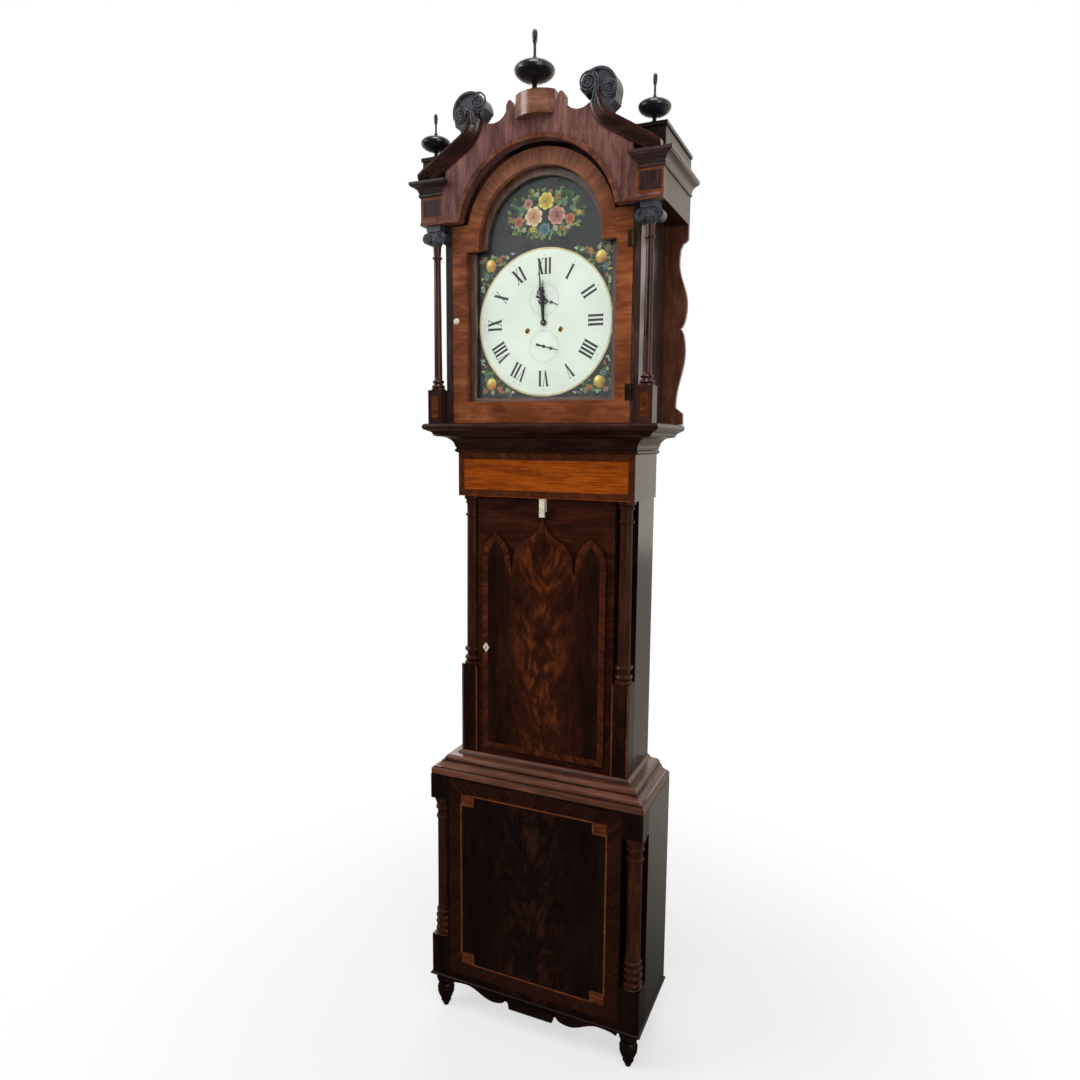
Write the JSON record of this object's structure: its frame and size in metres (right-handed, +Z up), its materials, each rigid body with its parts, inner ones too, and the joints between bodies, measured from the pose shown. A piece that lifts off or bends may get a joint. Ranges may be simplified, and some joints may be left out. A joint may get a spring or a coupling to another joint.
{
  "type": "longcase clock",
  "caption": "Tall wooden longcase clock with a swan-neck hood, glazed hood door, arched painted dial, arched trunk door, plinth, weights and seconds pendulum.",
  "frame": {"origin": "on the floor, under the middle of the clock's overall box", "axes": "+Z up, -Y towards the viewer of the dial, +X to the viewer's right"},
  "size_m": [0.644, 0.289, 2.4436],
  "materials": {
    "mahogany_dark": "french polished, very dark red-brown",
    "mahogany_flame": "french polished flame veneer",
    "mahogany_red": "french polished, red-brown",
    "mahogany_warm": "french polished, warm orange-brown",
    "satinwood": "french polished, golden",
    "ebonised": "ebonised, satin",
    "softwood": "bare, aged",
    "brass": "polished",
    "steel": "satin",
    "iron": "black painted",
    "blued": "blue-black",
    "dial_paint": "painted and lacquered iron",
    "glass": "clear",
    "bone": "polished bone",
    "gut": "twisted gut"
  },
  "bodies": {
    "case": {"backboard": "softwood", "trunk_sides": "mahogany_red", "trunk_front_frame": "mahogany_dark", "trunk_frieze": "satinwood", "trunk_columns": "mahogany_red", "trunk_column_blocks": "mahogany_dark", "throat_moulding": "mahogany_red", "waist_moulding": "mahogany_red", "plinth_front_panel": "mahogany_flame", "plinth_sides": "mahogany_red", "plinth_corner_blocks": "mahogany_dark", "plinth_columns": "mahogany_red", "plinth_apron": "mahogany_dark", "feet": "mahogany_dark", "seatboard": "softwood", "movement_plates": "brass", "dial_plate": "dial_paint", "bell": "brass", "going_line": "gut", "strike_line": "gut"},
    "trunk_door": {"trunk_door": "mahogany_flame", "trunk_door_hinges": "brass", "trunk_door_escutcheon": "bone", "trunk_door_pull": "bone"},
    "hood": {"hood_base_frame": "mahogany_dark", "hood_sides_and_mask": "mahogany_red", "hood_tympanum": "mahogany_red", "hood_arch_moulding": "mahogany_warm", "hood_entablature": "mahogany_red", "hood_cornices": "mahogany_dark", "swan_necks": "mahogany_red", "scroll_terminals": "ebonised", "centre_block": "mahogany_warm", "finials": "ebonised", "hood_roof": "mahogany_red", "hood_columns": "mahogany_red", "hood_column_capitals": "ebonised", "hood_column_blocks": "mahogany_red", "hood_wings": "mahogany_red"},
    "hood_door": {"hood_door_frame": "mahogany_warm", "hood_door_glass": "glass", "hood_door_knob": "bone", "hood_door_hinges": "brass"},
    "minute": {"minute_hand": "blued", "centre_arbor": "brass"},
    "hour": {"hour_hand": "blued", "hour_wheel": "brass"},
    "motion": {"minute_wheel": "brass"},
    "third": {"third_arbor": "brass"},
    "seconds": {"escape_arbor": "brass", "seconds_hand": "blued"},
    "date": {"date_hand": "blued"},
    "pendulum": {"pallet_anchor": "steel", "pendulum": "brass"},
    "great_wheel": {"great_wheel": "brass"},
    "going_barrel": {"going_barrel": "brass"},
    "strike_barrel": {"strike_barrel": "brass"},
    "going_weight": {"going_weight": "iron"},
    "strike_weight": {"strike_weight": "iron"},
    "hammer": {"hammer": "steel"}
  },
  "joints": [
    {"name": "trunk_door_swing", "type": "hinge", "parent": "case", "child": "trunk_door", "pos_m": [0.171, -0.03246, 1.005], "axis": [0, 0, 1], "range_deg": [0, 100]},
    {"name": "hood_slide", "type": "slide", "parent": "case", "child": "hood", "axis": [0, -1, 0], "range_m": [0, 0.26]},
    {"name": "hood_door_swing", "type": "hinge", "parent": "hood", "child": "hood_door", "pos_m": [0.23, -0.07496, 1.818], "axis": [0, 0, 1], "range_deg": [0, 95]},
    {"name": "minute_turn", "type": "hinge", "parent": "case", "child": "minute", "pos_m": [0, -0.04296, 1.82], "axis": [0, 1, 0], "continuous": true},
    {"name": "hour_turn", "type": "hinge", "parent": "case", "child": "hour", "pos_m": [0, -0.04016, 1.82], "axis": [0, 1, 0], "continuous": true},
    {"name": "motion_turn", "type": "hinge", "parent": "case", "child": "motion", "pos_m": [-0.0186, -0.016, 1.79346], "axis": [0, 1, 0], "continuous": true},
    {"name": "third_turn", "type": "hinge", "parent": "case", "child": "third", "pos_m": [-0.00699, 0.02154, 1.84979], "axis": [0, 1, 0], "continuous": true},
    {"name": "seconds_turn", "type": "hinge", "parent": "case", "child": "seconds", "pos_m": [0, 0.01154, 1.874], "axis": [0, 1, 0], "continuous": true},
    {"name": "date_turn", "type": "hinge", "parent": "case", "child": "date", "pos_m": [0, -0.035, 1.765], "axis": [0, 1, 0], "continuous": true},
    {"name": "pendulum_swing", "type": "hinge", "parent": "case", "child": "pendulum", "pos_m": [0, 0.052, 1.902], "axis": [0, 1, 0], "range_deg": [-3, 3]},
    {"name": "great_wheel_turn", "type": "hinge", "parent": "case", "child": "great_wheel", "pos_m": [0.04293, -0.00346, 1.803], "axis": [0, 1, 0], "continuous": true},
    {"name": "going_barrel_turn", "type": "hinge", "parent": "case", "child": "going_barrel", "pos_m": [0.04293, 0.02154, 1.803], "axis": [0, 1, 0], "range_deg": [-4442.9, 542]},
    {"name": "strike_barrel_turn", "type": "hinge", "parent": "case", "child": "strike_barrel", "pos_m": [-0.04293, 0.02154, 1.803], "axis": [0, 1, 0], "range_deg": [-542, 4442.9]},
    {"name": "going_weight_fall", "type": "slide", "parent": "case", "child": "going_weight", "axis": [0, 0, 1], "range_m": [-1, 0.12], "deforming": ["going_line"]},
    {"name": "strike_weight_fall", "type": "slide", "parent": "case", "child": "strike_weight", "axis": [0, 0, 1], "range_m": [-1, 0.12], "deforming": ["strike_line"]},
    {"name": "hammer_swing", "type": "hinge", "parent": "case", "child": "hammer", "pos_m": [-0.066, 0.02554, 1.886], "axis": [0, 1, 0], "range_deg": [-14, 0], "stiffness_Nm_per_rad": 0.05, "springref_deg": 28.65}
  ],
  "couplings": [
    {"joint": "hour_turn", "follows": "minute_turn", "ratio": 0.083333},
    {"joint": "motion_turn", "follows": "minute_turn", "ratio": -1},
    {"joint": "third_turn", "follows": "minute_turn", "ratio": -7.5},
    {"joint": "seconds_turn", "follows": "minute_turn", "ratio": 60},
    {"joint": "great_wheel_turn", "follows": "minute_turn", "ratio": -0.083333},
    {"joint": "going_barrel_turn", "follows": "going_weight_fall", "rad_per_m": 77.369},
    {"joint": "strike_barrel_turn", "follows": "strike_weight_fall", "rad_per_m": -77.369}
  ]
}
